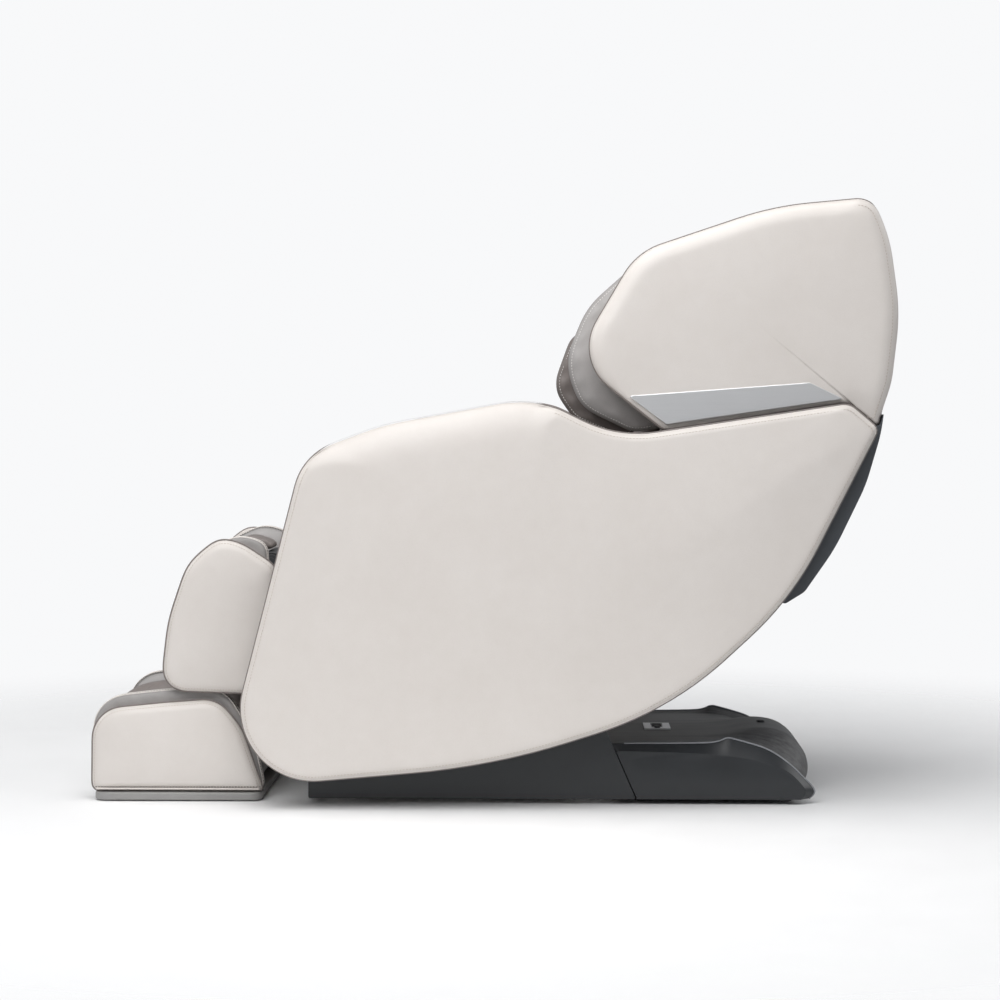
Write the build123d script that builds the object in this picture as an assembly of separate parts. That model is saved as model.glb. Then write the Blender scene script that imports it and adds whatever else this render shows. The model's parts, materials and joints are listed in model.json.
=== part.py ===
from build123d import *
import math
import os

# Reclining massage chair with a sliding base. Millimetres, +Z up, -Y is forward, +X is the sitter's left.

os.makedirs("parts", exist_ok=True)

# ---- driving dimensions ----
HALF_WIDTH = 390          # outer face of an arm panel
ARM_PLANE = 349           # back of an arm panel, where its board starts
ARM_INNER = 270           # face of the arm lining that the sitter touches
SEAT_PLATE = (250, 258)   # side plate of the seat frame
BACK_PLATE = (226, 234)   # side plate of the back frame
UPRIGHT = (236, 244)      # side plate of the sliding carriage
LEG_HALF = 262            # outer face of the calf and foot units
BASE_HALF = 280           # outer face of the base covers
WING = (264, 343)         # inner and outer face of a shoulder wing
RUN = 0.05                # radial clearance of a pin in its hole

TILT = (50, 300)          # pivot of the seat on the carriage
RECLINE = (260, 420)      # pivot of the backrest on the seat
LEG = (-455, 455)         # pivot of the leg rest on the seat
BACK_LEAN = 28            # lean of the backrest from upright, in degrees
ROBOT_REST = 330          # height of the massage robot up the back, from the recline pivot
TO_MIDDLE = 14.5          # from the frame's drawing point to the middle of the whole length, along Y

# ---- closed outlines in the side view: (y, z, corner radius) ----
PANEL = [
    (-526, 42, 135), (-7, 88, 1400), (328, 195, 650), (556, 407, 600), (717, 724, 14),
    (664, 769, 30), (228, 704, 240), (70, 783, 200), (-215, 731, 480), (-362, 676, 120),
]
WING_OUTLINE = [
    (148, 857, 95), (267, 1059, 130), (525, 1145, 600), (712, 1162, 45), (745, 1085, 300), (765, 945, 400),
    (750, 812, 200), (722, 729, 6), (668, 777, 30), (318, 723, 25),
]
BACK_SILHOUETTE = [
    (560, 1128, 8), (650, 1146, 120), (716, 1148, 50), (750, 950, 600), (738, 790, 250), (728, 715, 300),
    (700, 618, 300), (642, 497, 400), (585, 415, 30), (548, 392, 8), (365, 482, 2), (270, 532, 2),
    (574, 1103, 2),
]
CALF_SIDE = [
    (-540, 513, 40), (-602, 462, 100), (-640, 350, 300), (-656, 214, 42), (-440, 208, 10), (-430, 457, 8),
    (-495, 500, 50),
]
CALF_WALL = [
    (-506, 516, 55), (-594, 474, 90), (-632, 350, 200), (-646, 240, 38), (-446, 236, 8), (-450, 500, 20),
]
FOOT_SIDE = [
    (-791, 18, 12), (-789, 176, 62), (-650, 190, 400), (-545, 198, 60), (-498, 140, 120), (-456, 18, 3),
]
FOOT_WALL = [
    (-791, 18, 12), (-790, 196, 66), (-650, 212, 400), (-535, 218, 60), (-478, 120, 200), (-456, 18, 3),
]
BASE_SKIRT = [(-365, 10, 3), (-365, 128, 25), (206, 152, 3), (268, 10, 3)]
TAIL_SIDE = [
    (273, 10, 3), (229, 117, 3), (405, 117, 60), (444, 131, 6), (530, 106, 120), (590, 56, 60), (622, 22, 8),
    (600, 10, 4),
]
TAIL_DECK = [
    (273, 10, 3), (231, 112, 3), (470, 112, 200), (535, 126, 120), (612, 96, 60), (620, 30, 10),
    (590, 10, 4),
]


# ---- helpers ----
def face(corners):
    """Flat face in the side view with rounded corners."""
    points = [(y, z) for y, z, _ in corners]
    radii = [r for _, _, r in corners]
    return make_face(Plane.YZ * FilletPolyline(*points, radius=radii, close=True))


def thick(sketch, x0, x1):
    """Extrudes a side-view sketch from x0 to x1."""
    return extrude(Pos(x0, 0, 0) * sketch, amount=x1 - x0, dir=(1, 0, 0))


def slab(corners, x0, x1):
    return thick(face(corners), x0, x1)


def block(x0, x1, y0, y1, z0, z1):
    return Pos((x0 + x1) / 2, (y0 + y1) / 2, (z0 + z1) / 2) * Box(x1 - x0, y1 - y0, z1 - z0)


def rod(x0, x1, at, radius):
    """Round bar along X through a side-view point."""
    return Pos((x0 + x1) / 2, *at) * Rot(0, 90, 0) * Cylinder(radius, x1 - x0)


def rod_up(x, y, z0, z1, radius):
    return Pos(x, y, (z0 + z1) / 2) * Cylinder(radius, z1 - z0)


def bar(start, end, x, radius):
    """Round bar between two side-view points at one x."""
    path = Line((x, *start), (x, *end))
    return sweep(Plane(origin=path @ 0, z_dir=path % 0) * Circle(radius), path=path)


def strap(start, end, r0, r1, x0, x1):
    """Flat bar with round ends between two side-view points."""
    ends = [*(Pos(*start) * Circle(r0)).edges(), *(Pos(*end) * Circle(r1)).edges()]
    return thick(Plane.YZ * make_hull(ends), x0, x1)


def ears(at, root, x):
    """Pair of straps round an actuator's end, from a frame tube."""
    pair = [strap(root, at, 14, 12, x + dx, x + dx + 8) for dx in (-24, 16)]
    return pair[0] + pair[1]


def both(shape):
    """The shape and its mirror on the other side."""
    return [shape, mirror(shape, Plane.YZ)]


def group(*shapes):
    """Separate solids as one node."""
    solids = [s for shape in shapes for s in (shape if isinstance(shape, list) else [shape])]
    return Compound(children=[one for s in solids for one in s.solids()])


def up_back(s, n):
    """Side-view point s up the back and n behind it, from the recline pivot."""
    lean = math.radians(BACK_LEAN)
    y = RECLINE[0] + s * math.sin(lean) + n * math.cos(lean)
    z = RECLINE[1] + s * math.cos(lean) - n * math.sin(lean)
    return y, z


def back_slab(s0, s1, n0, n1, x0, x1, radius=0.0):
    """Block in the backrest's own directions."""
    ends = [(s0, n0), (s0, n1), (s1, n1), (s1, n0)]
    return slab([(*up_back(s, n), radius) for s, n in ends], x0, x1)


def channel(x, y0, y1, z0, z1, width, wall=3):
    """Steel channel along Y, open downwards."""
    return block(x - width / 2, x + width / 2, y0, y1, z0, z1) - block(
        x - width / 2 + wall, x + width / 2 - wall, y0, y1, z0, z1 - wall
    )


# ---- linear actuators: motor end's pivot, rod end's pivot, x, length of the tube, motor's side ----
ACTUATORS = {
    "leg": ((-60, 355), (-440, 385), 0, 270, -1),
    "tilt": ((-212, 146), (-120, 368), 180, 170, 1),
    "recline": ((20, 380), up_back(-56, 16), -150, 150, 1),
}
SEAT_EARS = [
    (ACTUATORS["leg"][0], (-120, 400), 0),
    (ACTUATORS["tilt"][1], (-120, 400), 180),
    (ACTUATORS["recline"][0], (-120, 400), -150),
]

NODES = {}


def keep(name, shape):
    """Stores a node as its solids alone, with the origin at the middle of the whole length."""
    solids = [Pos(0, TO_MIDDLE, 0) * solid for solid in shape.solids()]
    NODES[name] = solids[0] if len(solids) == 1 else Compound(children=solids)


def keep_pair(name, shape):
    """A left piece and its mirror image on the right."""
    keep(f"{name}_left", shape)
    keep(f"{name}_right", mirror(shape, Plane.YZ))


# ---- base on the floor ----
FRAME_TOP = 52
FRAME_BOTTOM = 14
RAIL_X = 190
RAIL_TOP = 76
WHEEL_AT = (556, 28)
WHEEL_RADIUS = 25
SLIDE_TRAVEL = 100        # how far the carriage moves forward on the rails
SCREW_Z = 80              # height of the slide motor's screw
NUT_Y = (30, 62)          # ends of the carriage's screw nut


def base_frame():
    """Two channel runners with a grooved slide rail on each, cross members and the wheel brackets."""
    runners = both(channel(RAIL_X, -350, 520, FRAME_BOTTOM, FRAME_TOP, 44))
    rail = block(RAIL_X - 18, RAIL_X + 18, -345, 250, FRAME_TOP - 1, RAIL_TOP)
    rails = both(rail - block(RAIL_X - 12, RAIL_X + 12, -345, 250, FRAME_TOP + 4, RAIL_TOP))
    crossing = [block(-168, 168, y - 20, y + 20, 20, 48) for y in (-320, -60, 200, 490)]
    hangers = both(
        slab([(500, 16, 4), (500, 50, 8), (575, 50, 18), (575, 12, 14)], 214, 222)
        - rod(210, 226, WHEEL_AT, 6 + RUN)
    )
    arms = both(block(212, 222, 470, 510, 20, 48))
    solid = runners[0]
    for more in [runners[1], *rails, *crossing, *hangers, *arms]:
        solid = solid + more
    return solid


def slide_motor():
    """Motor and tube of the actuator that moves the carriage, on a saddle."""
    tube_end = NUT_Y[0] - SLIDE_TRAVEL - 8
    body = bar((-340, SCREW_Z), (-210, SCREW_Z), 0, 22) + bar((-215, SCREW_Z), (tube_end, SCREW_Z), 0, 12)
    body = body + block(-26, 26, -336, -304, 48, 76)
    return body - bar((-318, SCREW_Z), (tube_end + 2, SCREW_Z), 0, 8 + RUN)


def base_skirt():
    wall = 4
    inner = [(-365 + wall, 0, 0), (-365 + wall, 200, 0), (290, 200, 0), (290, 0, 0)]
    return slab(BASE_SKIRT, -BASE_HALF, BASE_HALF) - slab(inner, -BASE_HALF + wall, BASE_HALF - wall)


def tail_cover():
    """Rear cover: two side fenders, a lower deck between them and a raised tail, open underneath."""
    fender = 26
    body = slab(TAIL_DECK, -BASE_HALF + fender, BASE_HALF - fender)
    sides = both(slab(TAIL_SIDE, BASE_HALF - fender, BASE_HALF))
    hollow = slab([(200, 0, 0), (200, 107, 0), (540, 107, 40), (606, 60, 30), (606, 0, 0)], -250, 250)
    shell = body + sides[0] + sides[1] - hollow
    wheel_room = both(block(222, 273, 515, 597, 0, 62))
    shell = shell - wheel_room[0] - wheel_room[1]
    inlet = block(-66, 27, 292, 346, 100, 118)
    finger_hole = Pos(0, 529, 120) * Cylinder(7, 40)
    return shell - inlet - finger_hole


def socket_plate():
    """Silver plate with openings for the mains inlet, the switch and the fuse."""
    plate = block(-65.5, 26.5, 292.5, 345.5, 109, 115)
    plate = plate - block(-60, -30, 307, 331, 108, 116) - block(-22, -2, 307, 331, 108, 116)
    return plate - rod_up(13, 319, 108, 116, 6)


def mains_inlet():
    """Recessed three-pin inlet and the fuse cap beside it."""
    body = block(-60, -30, 307, 331, 96, 114) - block(-57.5, -32.5, 310, 328, 99, 115)
    for x in (-52, -45, -38):
        body = body + block(x - 1, x + 1, 317, 321, 98, 111)
    cap = rod_up(13, 319, 100, 117, 5.9) - block(12, 14, 314, 324, 115.5, 118)
    return group(body, cap)


def power_switch():
    rocker = [
        (309, 111, 1), (309.5, 117.5, 1.5), (319, 115.8, 20), (328.5, 117.5, 1.5), (329, 111, 1),
        (319, 107, 4),
    ]
    return slab(rocker, -20.5, -3.5)


keep("base_frame", base_frame())
keep("base_skirt", base_skirt())
keep("base_tail_cover", tail_cover())
keep("socket_plate", socket_plate())
keep("power_switch", power_switch())
keep("mains_inlet", mains_inlet())
pads = [both(Pos(RAIL_X, y, FRAME_BOTTOM / 2) * Cylinder(20, FRAME_BOTTOM)) for y in (-320, -20, 250, 470)]
keep("floor_pads", group(*pads))
WHEELS = both(rod(226, 262, WHEEL_AT, WHEEL_RADIUS))
keep("transport_wheels", group(rod(-262, 262, WHEEL_AT, 6) + WHEELS[0] + WHEELS[1]))
keep("base_motors", group(slide_motor(), block(-120, 120, 380, 500, 48, 98)))


# ---- carriage that slides on the rails ----
def carriage_frame():
    sides = both(block(RAIL_X - 14, RAIL_X + 14, -250, 180, 84, 108))
    crossing = [block(-UPRIGHT[1], UPRIGHT[1], y - 22, y + 22, 106, 130) for y in (-200, 50)]
    upright = [(-50, 104, 6), (-50, 140, 30), (26, 330, 26), (74, 330, 26), (150, 140, 30), (150, 104, 6)]
    plates = both(slab(upright, *UPRIGHT))
    solid = sides[0] + sides[1]
    for more in [*crossing, *plates]:
        solid = solid + more
    for pin in both(rod(230, 262, TILT, 12)):
        solid = solid + pin
    screw = bar((-200, SCREW_Z), (NUT_Y[0] + 10, SCREW_Z), 0, 8) + block(-20, 20, *NUT_Y, 68, 108)
    return solid + screw + ears(ACTUATORS["tilt"][0], (-205, 120), ACTUATORS["tilt"][2])


def slide_shoes():
    half, bottom = 11.5, FRAME_TOP + 4.2
    shoes = [block(RAIL_X - half, RAIL_X + half, y - 30, y + 30, bottom, 84) for y in (-205, -30, 145)]
    return group(*[both(s) for s in shoes])


keep("carriage_frame", carriage_frame())
keep("slide_shoes", slide_shoes())


# ---- seat frame, arms and seat ----
def seat_frame():
    plate = [
        (-398, 396, 20), (-60, 372, 40), (20, 268, 22), (80, 268, 22), (130, 352, 40), (262, 376, 30),
        (306, 420, 30), (260, 466, 24), (200, 442, 40), (-398, 444, 20),
    ]
    plates = both(slab(plate, *SEAT_PLATE) - rod(240, 264, TILT, 12 + RUN))
    solid = plates[0] + plates[1]
    for at, radius in (((-376, 430), 10), ((-120, 400), 16), ((196, 402), 14)):
        solid = solid + rod(-SEAT_PLATE[1], SEAT_PLATE[1], at, radius)
    for x in (-108, 100):
        solid = solid + strap((-372, 412), LEG, 12, 16, x, x + 8)
    for y in (-250, -40):
        for bracket in both(block(258, 269, y - 30, y + 30, 402, 438)):
            solid = solid + bracket
    solid = solid + rod(-112, 112, LEG, 10)
    for pin in both(rod(222, 262, RECLINE, 12)):
        solid = solid + pin
    for at, root, x in SEAT_EARS:
        solid = solid + ears(at, root, x)
    return solid


def arm_roll():
    """Padded top of an armrest, from its outer board to the sitter's side."""
    top = slab(PANEL, ARM_INNER + 10, ARM_PLANE)
    return (top - Pos(0, 0, -64) * top) & block(0, 500, -326, 120, 550, 850)


def arm_panel():
    """Upholstered side panel and the armrest roll that its cover wraps over."""
    return thick(face(PANEL), ARM_PLANE, HALF_WIDTH) + arm_roll()


def arm_lining():
    """Padded inner side of an arm, under the roll."""
    return (Pos(0, 2, -67) * slab(PANEL, ARM_INNER, ARM_PLANE - 1)) & block(0, 500, -470, 126, 185, 740)


keep("seat_frame", seat_frame())
keep("seat_board", block(-247, 247, -392, 100, 440, 450) - block(-60, 60, -60, 100, 430, 460))
keep("seat_cushion", block(-260, 260, -396, 118, 451, 500))
keep_pair("arm_panel", arm_panel())
keep("arm_linings", group(both(arm_lining())))
KEY_YS = {"recline_key": -252, "massage_key": -220}
KEY_Z = 640
key_plate = block(-270, -266, -292, -180, KEY_Z - 20, KEY_Z + 20)
for name, y in KEY_YS.items():
    key_plate = key_plate - Pos(-268, y, KEY_Z) * Rot(0, 90, 0) * Cylinder(9.4, 12)
    keep(name, Pos(-265.5, y, KEY_Z) * Rot(0, 90, 0) * Cylinder(9, 5))
keep("key_plate", key_plate)


# ---- backrest ----
RAIL_S = (30, 730)        # span of the robot's guide rails up the back
TUBE_S = (90, 420, 745)   # cross tubes of the back frame
TUBE_N = 94               # their distance behind the recline pivot's line


def back_frame():
    corners = [(-26, -22, 24), (-26, 60, 24), (110, 112, 80), (760, 106, 20), (760, 20, 20)]
    plate = [(*up_back(s, n), r) for s, n, r in corners]
    plates = both(slab(plate, *BACK_PLATE) - rod(220, 240, RECLINE, 12 + RUN))
    solid = plates[0] + plates[1]
    for s in TUBE_S:
        solid = solid + rod(-BACK_PLATE[1], BACK_PLATE[1], up_back(s, TUBE_N), 14)
    for s in (130, 410, 700):
        for tie in both(back_slab(s - 12, s + 12, 10, 26, 136, BACK_PLATE[0] + 2)):
            solid = solid + tie
    shelf = back_slab(112, 440, 128, 138, -120, 120)
    for s in TUBE_S[:2]:
        shelf = shelf + back_slab(s - 2, s + 34, TUBE_N + 8, 130, -20, 20)
    _, rod_end, x, *_ = ACTUATORS["recline"]
    return solid + shelf + ears(rod_end, up_back(TUBE_S[0], TUBE_N), x)


def guide_rails():
    """Pair of C rails that the robot's wheels run in."""
    outer = back_slab(*RAIL_S, -20, 10, 128, 150)
    groove = back_slab(RAIL_S[0] - 5, RAIL_S[1] + 5, -16, 6, 120, 146)
    return group(both(outer - groove))


def back_liner():
    """Upholstered board with the slot that the robot works through."""
    board = back_slab(30, 746, -60, -46, -258, 258) - back_slab(20, 725, -80, -30, -124, 124)
    for strip in both(back_slab(30, 746, -90, -59, 126, 158)):
        board = board + strip
    return board


def rear_shell():
    """Ivory rear shell between the wings, hollow and open to the front."""
    above = block(-500, 500, 200, 950, 757, 1300)
    body = slab(BACK_SILHOUETTE, -WING[0] + 4, WING[0] - 4) & above
    hollow = thick(offset(face(BACK_SILHOUETTE), -14), -246, 246) + back_slab(100, 749, -90, 60, -246, 246)
    return body - hollow


def rear_cover():
    """Dark lower rear cover, a shell open to the front."""
    kept = block(-500, 500, 200, 950, 355, 755) & back_slab(60, 900, 66, 500, -500, 500)
    outer = (slab(BACK_SILHOUETTE, -334, 334) & kept) - thick(offset(face(WING_OUTLINE), 3), -350, 350)
    inner = thick(offset(face(BACK_SILHOUETTE), -5), -329, 329) + back_slab(110, 900, 0, 120, -329, 329)
    inner = inner + back_slab(60, 130, 0, 145, -245, 245)
    return outer - inner


keep("back_frame", back_frame())
keep("guide_rails", guide_rails())
keep("back_liner", back_liner())
keep("rear_shell", rear_shell())
keep("rear_cover", rear_cover())
keep("back_cushion", back_slab(32, 560, -128, -91, -158, 158, 10))
keep("head_pillow", back_slab(575, 745, -150, -91, -150, 150, 20))
keep("back_units", group(back_slab(150, 250, 138, 205, -90, 90), back_slab(290, 400, 138, 185, -110, 110)))
keep_pair("wing", slab(WING_OUTLINE, *WING))
TRIM = [(250, 787, 2), (592, 812, 12), (656, 781, 2), (322, 733, 4)]
keep("wing_trims", group(both(slab(TRIM, WING[1], WING[1] + 4))))
SHOULDER = [
    (262, 1038, 20), (172, 958, 150), (128, 850, 110), (160, 765, 70), (262, 716, 30), (340, 730, 20),
    (330, 960, 60),
]
keep("shoulder_pads", group(both(slab(SHOULDER, 214, 259))))
BOLSTER = [
    (150, 925, 40), (106, 803, 60), (148, 742, 50), (250, 700, 20), (300, 760, 30), (240, 890, 40),
]
keep("arm_bolsters", group(both(slab(BOLSTER, 166, 211))))


# ---- massage robot, which travels up the back ----
def at_robot(ds, n):
    return up_back(ROBOT_REST + ds, n)


ARM_PIVOT = at_robot(0, 0)
UPPER_ROLLER = at_robot(56, -54)
LOWER_ROLLER = at_robot(-56, -54)
ROLLER_RADIUS = 27


def robot_chassis():
    plate = back_slab(ROBOT_REST - 80, ROBOT_REST + 80, 14, 22, -116, 116)
    cheeks = both(back_slab(ROBOT_REST - 80, ROBOT_REST + 80, -14, 22, 112, 118))
    solid = plate + cheeks[0] + cheeks[1]
    for ds in (-66, 66):
        for wheel_pin in both(rod(112, 142, at_robot(ds, -5), 4)):
            solid = solid + wheel_pin
    for x in (-50, 50):
        solid = solid + back_slab(ROBOT_REST - 50, ROBOT_REST + 50, 21, 74, x - 32, x + 32)
    return solid - rod(-130, 130, ARM_PIVOT, 8 + RUN)


def knead_arms():
    arms = []
    for x in (-76, 68):
        ends = (UPPER_ROLLER, LOWER_ROLLER)
        branches = [strap(ARM_PIVOT, at, 13, 12, x, x + 8) for at in ends]
        arm = branches[0] + branches[1]
        for at in ends:
            arm = arm - rod(x - 2, x + 10, at, 5 + RUN)
        arms.append(arm)
    return arms[0] + arms[1] + rod(-120, 120, ARM_PIVOT, 8)


def rollers(at):
    """Two massage balls on their spindles."""
    pair = []
    for x0, x1, pin in ((30, 64, (30, 80)), (-64, -30, (-80, -30))):
        pair.append(rod(x0, x1, at, ROLLER_RADIUS) + rod(*pin, at, 5))
    return group(*pair)


keep("robot_chassis", robot_chassis())
for name, ds in (("lower_guide_wheels", -66), ("upper_guide_wheels", 66)):
    wheel = rod(120, 142, at_robot(ds, -5), 10.5) - rod(118, 144, at_robot(ds, -5), 4 + RUN)
    keep(name, group(both(wheel)))
keep("knead_arms", knead_arms())
keep("upper_rollers", rollers(UPPER_ROLLER))
keep("lower_rollers", rollers(LOWER_ROLLER))


# ---- leg rest ----
ROD_X = 150
ROD_Y = -483


def calf_board():
    board = block(-215, 215, -498, -468, 222, 424)
    neck = [
        (-498, 420, 2), (-478, 474, 20), (-434, 474, 20), (-434, 436, 20), (-468, 400, 8), (-498, 400, 2),
    ]
    solid = board + slab(neck, -96, 96) - rod(-100, 100, LEG, 10 + RUN)
    for x in (-ROD_X, ROD_X):
        solid = solid - Pos(x, ROD_Y, 320) * Cylinder(9 + RUN, 260)
    return solid + ears(ACTUATORS["leg"][1], (-480, 410), 0)


keep("calf_board", calf_board())
keep("calf_sides", group(both(slab(CALF_SIDE, 232, LEG_HALF))))
keep("calf_pads", group(both(slab(CALF_WALL, 184, 230) - block(0, 216, -499, -400, 200, 426))))
keep("calf_divider", slab(CALF_WALL, -46, 46) - block(-97, 97, -499, -400, 200, 476))
bed = slab([(-518, 226, 8), (-500, 226, 4), (-500, 470, 6), (-522, 470, 12)], 48, 182)
keep("calf_bed", group(both(bed)))
valves = [*both(block(40, 120, -468, -442, 250, 340)), block(-34, 34, -468, -440, 250, 340)]
keep("calf_air_valves", group(*valves))


# ---- foot unit, which slides out of the leg rest ----
FOOT_ROLLER_YS = (-700, -600)
FOOT_ROLLER_Z = 40


def foot_tray():
    """Sole of the foot unit."""
    tray = block(-LEG_HALF, LEG_HALF, -785, -458, 2, 17)
    corners = tray.edges().filter_by(Axis.Z)
    return fillet(corners, 24)


def foot_bed():
    """Sole bed with a slot for each massage roller."""
    bed = block(-186, -48, -740, -506, 18, 46) + block(48, 186, -740, -506, 18, 46)
    for y in FOOT_ROLLER_YS:
        bed = bed - block(-176, -58, y - 24, y + 24, 18, 60) - block(58, 176, y - 24, y + 24, 18, 60)
        bed = bed - rod(-190, 190, (y, FOOT_ROLLER_Z), 5 + RUN)
    return group(bed)


def foot_roller(y):
    """Roller bar with raised massage discs for both feet."""
    at = (y, FOOT_ROLLER_Z)
    solid = rod(-184, 184, at, 5)
    for x in (80, 106, 132, 158):
        for disc in both(rod(x - 8, x + 8, at, 18)):
            solid = solid + disc
    return solid


def foot_divider():
    wall = slab(FOOT_WALL, -45, 45) & block(-60, 60, -780, -506, 18, 230)
    for y in FOOT_ROLLER_YS:
        wall = wall - rod(-60, 60, (y, FOOT_ROLLER_Z), 8)
    return wall


def foot_wall():
    wall = slab(FOOT_WALL, 188, 230)
    for y in FOOT_ROLLER_YS:
        wall = wall - rod(180, 192, (y, FOOT_ROLLER_Z), 8)
    return wall


keep("foot_tray", foot_tray())
keep("foot_sides", group(both(slab(FOOT_SIDE, 232, LEG_HALF))))
keep("foot_walls", group(both(foot_wall())))
keep("foot_divider", foot_divider())
keep("foot_bed", foot_bed())
heel = block(-186, 186, -504, -468, 17, 196)
for x in (-ROD_X, ROD_X):
    heel = heel - rod_up(x, ROD_Y, 10, 200, 9.1)
keep("heel_wall", heel)
keep("foot_slide_rods", group(*[rod_up(x, ROD_Y, 17, 390, 9) for x in (-ROD_X, ROD_X)]))
for name, y in zip(("front_foot_roller", "rear_foot_roller"), FOOT_ROLLER_YS):
    keep(name, foot_roller(y))


# ---- linear actuators ----
def actuator(pivot, tip, x, tube_length, side):
    """Motor housing and push rod from a pivot towards its tip. Side says where the motor hangs, 1 or -1."""
    dy, dz = tip[0] - pivot[0], tip[1] - pivot[1]
    length = math.hypot(dy, dz)
    uy, uz = dy / length, dz / length

    def along(t, across=0.0):
        return pivot[0] + uy * t - uz * across * side, pivot[1] + uz * t + uy * across * side

    tube = bar(along(20), along(tube_length), x, 15) - bar(along(46), along(tube_length + 1), x, 9 + RUN)
    motor = bar(along(34, -34), along(110, -34), x, 17)
    case = [(*along(18, -52), 6), (*along(48, -52), 6), (*along(48, 16), 6), (*along(18, 16), 6)]
    gearbox = slab(case, x - 14, x + 14)
    eye = bar(along(-9), along(24), x, 11) & block(x - 8, x + 8, -900, 900, -900, 900)
    housing = tube + (gearbox - bar(along(46), along(60), x, 9 + RUN)) + motor + eye
    push_rod = bar(along(70), along(length - 2), x, 9)
    push_rod = push_rod + bar(along(length - 14), along(length + 11), x, 11)
    push_rod = push_rod & thick(Plane.YZ * Rectangle(4000, 4000), x - 12, x + 12)
    return housing, push_rod


for name, values in ACTUATORS.items():
    housing, push_rod = actuator(*values)
    keep(f"{name}_actuator", housing)
    keep(f"{name}_push_rod", push_rod)

for name, shape in NODES.items():
    export_step(shape, f"parts/{name}.step")
print(len(NODES), "nodes")
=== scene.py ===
import json
import math
import bpy
import bmesh
import numpy as np
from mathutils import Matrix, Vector


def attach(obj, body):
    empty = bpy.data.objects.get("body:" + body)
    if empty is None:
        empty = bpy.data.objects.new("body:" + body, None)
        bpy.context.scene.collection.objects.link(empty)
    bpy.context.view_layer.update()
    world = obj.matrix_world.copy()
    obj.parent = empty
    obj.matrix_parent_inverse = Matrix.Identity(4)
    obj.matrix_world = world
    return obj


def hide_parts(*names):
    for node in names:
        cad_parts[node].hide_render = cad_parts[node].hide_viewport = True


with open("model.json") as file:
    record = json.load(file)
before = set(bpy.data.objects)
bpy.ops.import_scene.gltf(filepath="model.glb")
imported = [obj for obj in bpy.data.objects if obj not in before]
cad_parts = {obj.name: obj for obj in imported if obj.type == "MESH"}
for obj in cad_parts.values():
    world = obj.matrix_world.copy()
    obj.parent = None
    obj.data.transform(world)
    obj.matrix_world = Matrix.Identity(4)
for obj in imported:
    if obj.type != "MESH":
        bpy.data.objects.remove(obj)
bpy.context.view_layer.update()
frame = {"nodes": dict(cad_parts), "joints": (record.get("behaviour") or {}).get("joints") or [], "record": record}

mm = 0.001
rng = np.random.default_rng(7)
scene = bpy.context.scene
sides = {"left": 1, "right": -1}

# joint centres that several pieces share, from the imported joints
joints = {j["name"]: j for j in frame["joints"]}
reclineAt = np.array(joints["back_recline"]["pos_m"])
upBack = np.array(joints["robot_travel"]["axis"])
backNormal = np.array([0, upBack[2], -upBack[1]])
shiftY = joints["body_tilt"]["pos_m"][1] - 0.050  # from the chair's drawing point to the frame's origin


# small mesh tools
def smoothStep(low, high, value):
    # 0 below low, 1 above high, 3t^2 - 2t^3 between
    t = np.clip((value - low) / (high - low), 0, 1)
    return t * t * (3 - 2 * t)


def unit(vectors):
    return vectors / np.maximum(np.linalg.norm(vectors, axis=-1, keepdims=True), 1e-12)


def gridFaces(rows, columns, loop=True, start=0):
    # quad (i, j) joins two neighbouring rows and two neighbouring columns
    i = np.arange(rows - 1)[:, None] * columns
    j = np.arange(columns if loop else columns - 1)[None, :]
    k = (j + 1) % columns
    return np.stack([i + j, i + k, i + columns + k, i + columns + j], -1).reshape(-1, 4) + start


def fanFaces(pole, ring):
    # one triangle from the pole to each side of a closed ring
    return np.stack([np.full(len(ring), pole), ring, np.roll(ring, -1)], -1)


def addPiece(name, points, faces, material, body, replaced=(), outward=True, masks=None,
             flat=False):
    # faces is a list of index arrays, one for each number of corners
    mesh = bpy.data.meshes.new(name)
    mesh.from_pydata(points.tolist(), [], [face for block in faces for face in block.tolist()])
    for key, values in (masks or {}).items():
        mesh.attributes.new(key, "FLOAT", "POINT").data.foreach_set("value",
                                                                    values.astype(np.float32).ravel())
    if outward:
        work = bmesh.new()
        work.from_mesh(mesh)
        bmesh.ops.recalc_face_normals(work, faces=work.faces)
        work.to_mesh(mesh)
        work.free()
    return setUp(bpy.data.objects.new(name, mesh), material, body, replaced, flat)


def setUp(piece, material, body, replaced=(), flat=False):
    if not piece.users_collection:
        scene.collection.objects.link(piece)
    piece.data.materials.clear()
    piece.data.materials.append(material)
    piece.data.polygons.foreach_set("use_smooth", np.full(len(piece.data.polygons), not flat))
    if replaced:
        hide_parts(*replaced)
    if body:
        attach(piece, body)
    return piece


def cornersOf(mesh):
    co = np.empty(len(mesh.vertices) * 3)
    mesh.vertices.foreach_get("co", co)
    return co.reshape(-1, 3)


def outlineOf(node, count, inner=False):
    # corners of a node's flat end face on the left side, in order round the middle, spaced evenly along
    # the edge
    co = cornersOf(frame["nodes"][node].data)
    co = co[co[:, 0] > 0]
    plane = co[:, 0].min() if inner else co[:, 0].max()
    flat = np.unique(np.round(co[np.abs(co[:, 0] - plane) < 1e-5][:, 1:], 6), axis=0)
    middle = (flat.min(0) + flat.max(0)) / 2
    order = np.argsort(np.arctan2(flat[:, 1] - middle[1], flat[:, 0] - middle[0]))
    return evenly(flat[order], count)


def evenly(points, count, loop=True):
    # the same line with points at equal steps of its length
    line = np.vstack([points, points[:1]]) if loop else points
    along = np.concatenate([[0], np.cumsum(np.linalg.norm(np.diff(line, axis=0), axis=1))])
    at = np.linspace(0, along[-1], count + 1)[:-1] if loop else np.linspace(0, along[-1], count)
    return np.stack([np.interp(at, along, line[:, k]) for k in range(line.shape[1])], -1)


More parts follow.
